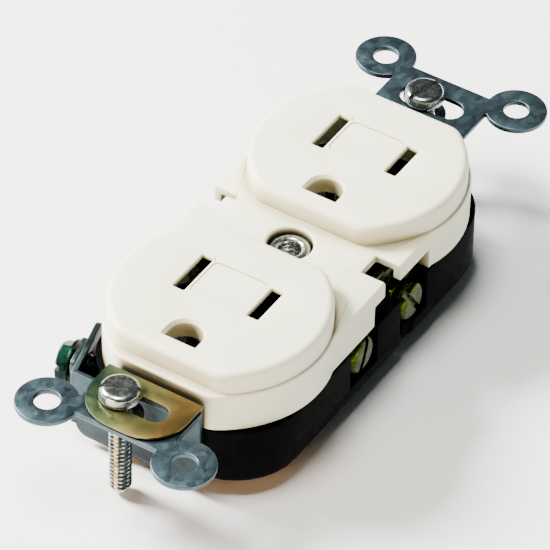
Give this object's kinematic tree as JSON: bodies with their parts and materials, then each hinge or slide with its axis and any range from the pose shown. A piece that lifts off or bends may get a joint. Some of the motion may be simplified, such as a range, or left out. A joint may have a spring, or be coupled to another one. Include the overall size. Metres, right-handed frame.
{
  "type": "duplex wall outlet",
  "caption": "Duplex wall outlet: ivory moulded cover with grounded plug faces on a black body, steel strap with ringed ears, side terminal screws and captive box screws.",
  "frame": {"origin": "centre of the flat back of the strap, midway between the two sockets", "axes": "+Z out of the socket faces; +Y along the outlet, from the ground holes towards the blade slots; +X towards the live, short-slot side"},
  "size_m": [0.0386, 0.1048, 0.0239],
  "materials": {
    "cover": "ivory moulded thermoplastic, soft satin gloss",
    "body": "black phenolic, satin",
    "strap": "galvanised steel sheet, blue-grey",
    "clip": "yellow-passivated contact plate",
    "zinc": "bright zinc-plated steel",
    "brass": "plain brass",
    "nickel": "nickel-plated brass",
    "green": "green-dyed plated steel",
    "fibre": "dark grey fibre card, dull"
  },
  "bodies": {
    "outlet": {"front_cover": "cover", "back_body": "body", "mounting_strap": "strap", "grounding_clip": "clip", "centre_bush": "zinc", "hot_contact_strip": "brass", "neutral_contact_strip": "nickel", "ground_contact_upper": "brass", "ground_contact_lower": "brass", "ground_rivet_upper": "nickel", "ground_rivet_lower": "nickel", "assembly_screw_upper": "zinc", "assembly_screw_lower": "zinc"},
    "clamp_hot_upper": {"clamp_plate_hot_upper": "brass"},
    "screw_hot_upper": {"terminal_screw_hot_upper": "brass"},
    "clamp_hot_lower": {"clamp_plate_hot_lower": "brass"},
    "screw_hot_lower": {"terminal_screw_hot_lower": "brass"},
    "clamp_neutral_upper": {"clamp_plate_neutral_upper": "nickel"},
    "screw_neutral_upper": {"terminal_screw_neutral_upper": "nickel"},
    "clamp_neutral_lower": {"clamp_plate_neutral_lower": "nickel"},
    "screw_neutral_lower": {"terminal_screw_neutral_lower": "nickel"},
    "clamp_ground": {"ground_clamp_plate": "zinc"},
    "screw_ground": {"ground_screw": "green"},
    "washer_upper": {"retaining_washer_upper": "fibre"},
    "box_screw_upper": {"mounting_screw_upper": "zinc"},
    "washer_lower": {"retaining_washer_lower": "fibre"},
    "box_screw_lower": {"mounting_screw_lower": "zinc"}
  },
  "joints": [
    {"name": "clamp_hot_upper_travel", "type": "slide", "parent": "outlet", "child": "clamp_hot_upper", "axis": [1, 0, 0], "range_m": [0, 0.00318]},
    {"name": "screw_hot_upper_turn", "type": "hinge", "parent": "clamp_hot_upper", "child": "screw_hot_upper", "pos_m": [0.015, 0.009, 0.0084], "axis": [1, 0, 0], "range_deg": [0, 1440]},
    {"name": "clamp_hot_lower_travel", "type": "slide", "parent": "outlet", "child": "clamp_hot_lower", "axis": [1, 0, 0], "range_m": [0, 0.00318]},
    {"name": "screw_hot_lower_turn", "type": "hinge", "parent": "clamp_hot_lower", "child": "screw_hot_lower", "pos_m": [0.015, -0.0054, 0.0084], "axis": [1, 0, 0], "range_deg": [0, 1440]},
    {"name": "clamp_neutral_upper_travel", "type": "slide", "parent": "outlet", "child": "clamp_neutral_upper", "axis": [-1, 0, 0], "range_m": [0, 0.00318]},
    {"name": "screw_neutral_upper_turn", "type": "hinge", "parent": "clamp_neutral_upper", "child": "screw_neutral_upper", "pos_m": [-0.015, 0.009, 0.0084], "axis": [-1, 0, 0], "range_deg": [0, 1440]},
    {"name": "clamp_neutral_lower_travel", "type": "slide", "parent": "outlet", "child": "clamp_neutral_lower", "axis": [-1, 0, 0], "range_m": [0, 0.00318]},
    {"name": "screw_neutral_lower_turn", "type": "hinge", "parent": "clamp_neutral_lower", "child": "screw_neutral_lower", "pos_m": [-0.015, -0.0054, 0.0084], "axis": [-1, 0, 0], "range_deg": [0, 1440]},
    {"name": "clamp_ground_travel", "type": "slide", "parent": "outlet", "child": "clamp_ground", "axis": [-0.9659, -0.2588, 0], "range_m": [0, 0.00318]},
    {"name": "screw_ground_turn", "type": "hinge", "parent": "clamp_ground", "child": "screw_ground", "pos_m": [-0.01685, -0.0312, 0.009], "axis": [-0.9659, -0.2588, 0], "range_deg": [0, 1440]},
    {"name": "box_screw_upper_lift", "type": "slide", "parent": "outlet", "child": "washer_upper", "axis": [0, 0, 1], "range_m": [0, 0.0015]},
    {"name": "box_screw_upper_turn", "type": "hinge", "parent": "washer_upper", "child": "box_screw_upper", "pos_m": [-0.0014, 0.04165, 0.018], "axis": [0, 0, 1], "continuous": true},
    {"name": "box_screw_lower_lift", "type": "slide", "parent": "outlet", "child": "washer_lower", "axis": [0, 0, 1], "range_m": [0, 0.0015]},
    {"name": "box_screw_lower_turn", "type": "hinge", "parent": "washer_lower", "child": "box_screw_lower", "pos_m": [-0.003, -0.04165, 0.018], "axis": [0, 0, 1], "continuous": true}
  ],
  "couplings": [
    {"joint": "clamp_hot_upper_travel", "follows": "screw_hot_upper_turn", "m_per_rad": 0.00012633},
    {"joint": "clamp_hot_lower_travel", "follows": "screw_hot_lower_turn", "m_per_rad": 0.00012633},
    {"joint": "clamp_neutral_upper_travel", "follows": "screw_neutral_upper_turn", "m_per_rad": 0.00012633},
    {"joint": "clamp_neutral_lower_travel", "follows": "screw_neutral_lower_turn", "m_per_rad": 0.00012633},
    {"joint": "clamp_ground_travel", "follows": "screw_ground_turn", "m_per_rad": 0.00012633}
  ]
}
